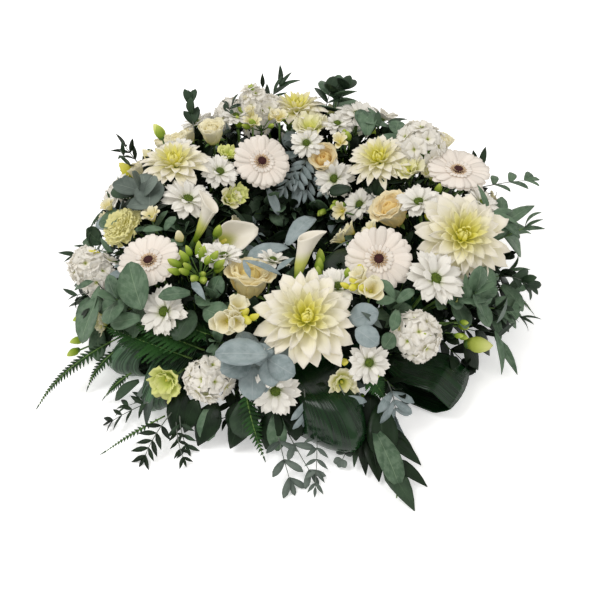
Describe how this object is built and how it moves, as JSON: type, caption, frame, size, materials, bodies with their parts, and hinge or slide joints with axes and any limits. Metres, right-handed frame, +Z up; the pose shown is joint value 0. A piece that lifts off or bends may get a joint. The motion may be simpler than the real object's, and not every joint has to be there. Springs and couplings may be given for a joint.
{
  "type": "funeral wreath",
  "caption": "Ring wreath of fresh white, cream and pale yellow flowers with mixed greenery, pushed into a wet floral foam ring in a shallow tray, lying flat on its base.",
  "frame": {"origin": "centre of the ring, on the surface that the tray stands on", "axes": "+Z up through the hole, square to the surface; -Y towards the front, where the long sprigs trail; +X to the right seen from the front"},
  "size_m": [0.5823, 0.7175, 0.1713],
  "materials": {
    "tray": "dark green-black moulded plastic, satin",
    "foam": "dark green wet open-cell foam, matte and slightly crumbly",
    "dahlia": "ivory petals that turn lemon yellow and green towards the heart",
    "gerbera": "off-white strap petals round a dark maroon-brown eye",
    "rose": "cream to peach velvety petals",
    "carnation": "pale yellow frilled petals",
    "calla": "smooth ivory spathe, green at its base",
    "stock": "white ruffled florets",
    "chrysanthemum": "white ray petals round a green button",
    "lisianthus": "cream-white petals with green flushes",
    "freesia": "cream blooms and yellow-green buds",
    "eucalyptus": "blue-grey waxy leaves with a dusty bloom",
    "pistache": "grey-green to dark green small leaves",
    "fern": "dark green fern, satin",
    "aspidistra": "very dark green glossy ribbed leaves"
  },
  "bodies": {
    "root": {"dahlia_front": "dahlia", "dahlia_right": "dahlia", "dahlia_back_right": "dahlia", "dahlia_back_left": "dahlia", "dahlia_back": "dahlia", "gerbera_back": "gerbera", "gerbera_left": "gerbera", "gerbera_front_right": "gerbera", "gerbera_right": "gerbera", "rose_right": "rose", "rose_back": "rose", "rose_front": "rose", "rose_back_left_high": "rose", "rose_back_left_low": "rose", "carnation_left": "carnation", "calla_left": "calla", "calla_middle": "calla", "calla_front": "calla", "stock_front_left": "stock", "stock_front_right": "stock", "stock_back_right": "stock", "stock_left": "stock", "stock_back_left": "stock", "chrysanthemum_front": "chrysanthemum", "chrysanthemum_front_right": "chrysanthemum", "chrysanthemum_right": "chrysanthemum", "chrysanthemum_middle": "chrysanthemum", "chrysanthemum_left": "chrysanthemum", "chrysanthemum_inner_left": "chrysanthemum", "chrysanthemum_left_high": "chrysanthemum", "chrysanthemum_back_inner": "chrysanthemum", "chrysanthemum_inner_right": "chrysanthemum", "chrysanthemum_back_high": "chrysanthemum", "chrysanthemum_back_right": "chrysanthemum", "chrysanthemum_far_right": "chrysanthemum", "lisianthus_back": "lisianthus", "lisianthus_back_right": "lisianthus", "lisianthus_front": "lisianthus", "freesia_left": "freesia", "freesia_front": "freesia", "freesia_front_right": "freesia", "freesia_back": "freesia", "eucalyptus_front": "eucalyptus", "eucalyptus_left": "eucalyptus", "eucalyptus_left_high": "eucalyptus", "eucalyptus_right": "eucalyptus", "eucalyptus_back": "eucalyptus", "eucalyptus_far_right": "eucalyptus", "eucalyptus_trailing_front": "eucalyptus", "eucalyptus_trailing_back": "eucalyptus", "pistache_front": "pistache", "aspidistra_loop_front": "aspidistra", "aspidistra_loop_front_left": "aspidistra", "aspidistra_loop_left": "aspidistra", "aspidistra_loop_right": "aspidistra", "aspidistra_loop_back": "aspidistra", "fern_left": "fern", "fern_trailing_left": "fern", "floral_foam_ring": "foam", "ring_tray": "tray"}
  },
  "joints": []
}
